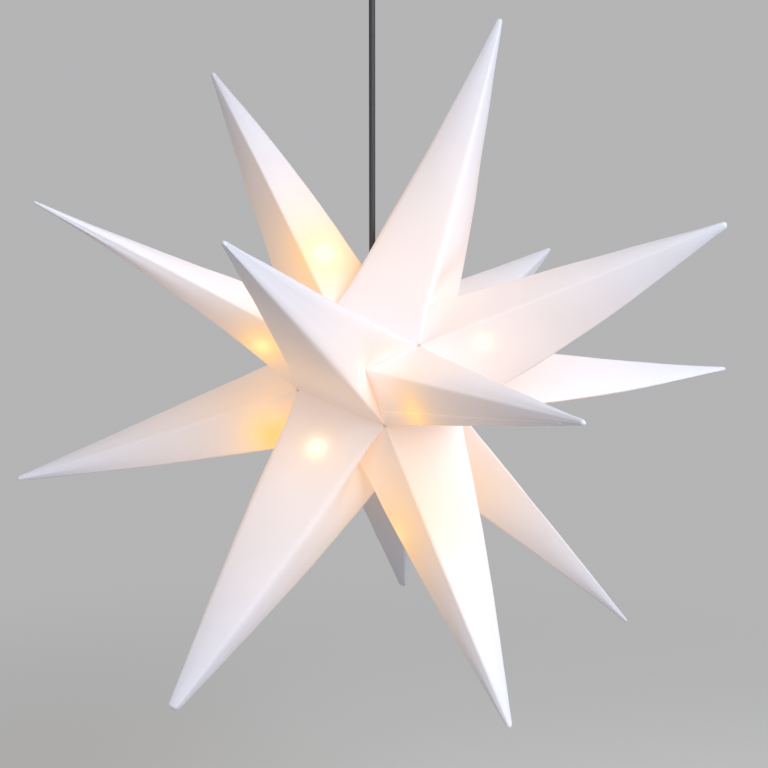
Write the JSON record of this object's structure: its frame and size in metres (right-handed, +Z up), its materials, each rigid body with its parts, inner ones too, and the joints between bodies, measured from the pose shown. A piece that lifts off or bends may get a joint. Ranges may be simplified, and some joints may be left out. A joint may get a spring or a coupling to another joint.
{
  "type": "led christmas star",
  "caption": "Hanging lit star of hollow white film spikes round small warm lamps, on a cord from a round ceiling cup that hides a strap and a terminal block.",
  "frame": {"origin": "centre of the strap's top face, where it lies against the ceiling", "axes": "+Z up to the ceiling, -Y towards the viewer of the picture, +X to the right"},
  "size_m": [0.5913, 0.5348, 0.5954],
  "materials": {
    "film": "white translucent satin film",
    "stud": "moulded natural plastic",
    "gland": "soft matt moulding",
    "inner_plastic": "moulded",
    "lead": "thin insulated wire",
    "lamp": "clear warm lamp, lit",
    "cord": "dark grey round cord",
    "core": "insulated cores",
    "cup_paint": "white satin powder coat",
    "zinc_steel": "zinc plated",
    "screw_steel": "plated",
    "screw_brass": "plain",
    "grip": "moulded"
  },
  "bodies": {
    "ceiling_set": {"ceiling_strap": "zinc_steel", "ceiling_cup": "cup_paint", "cup_screws": "screw_steel", "cord_grip": "grip", "grip_nut": "grip", "cord_tail": "cord", "cord_cores": "core", "terminal_block": "inner_plastic", "terminal_screws": "screw_brass", "terminal_fixing": "screw_steel"},
    "pendulum": {"cord": "cord"},
    "star": {"spike_left_1": "film", "spike_left_2": "film", "spike_left_3": "film", "spike_left_4": "film", "spike_left_5": "film", "spike_middle_1": "film", "spike_middle_2": "film", "spike_middle_3": "film", "spike_middle_4": "film", "spike_middle_5": "film", "spike_right_1": "film", "spike_right_2": "film", "spike_right_3": "film", "spike_right_4": "film", "spike_right_5": "film", "stud_caps": "stud", "stud_sockets": "stud", "cord_gland": "gland", "gland_nut": "inner_plastic", "junction_cap": "inner_plastic", "junction_base": "inner_plastic", "lamp_leads": "lead", "lamp_holders": "inner_plastic", "lamps": "lamp"}
  },
  "joints": [
    {"name": "cord_swing", "type": "hinge", "parent": "ceiling_set", "child": "pendulum", "pos_m": [0, 0, -0.041], "axis": [1, 0, 0], "range_deg": [-10, 10]},
    {"name": "star_turn", "type": "hinge", "parent": "pendulum", "child": "star", "pos_m": [0, 0, -0.3], "axis": [0, 0, 1], "continuous": true}
  ]
}
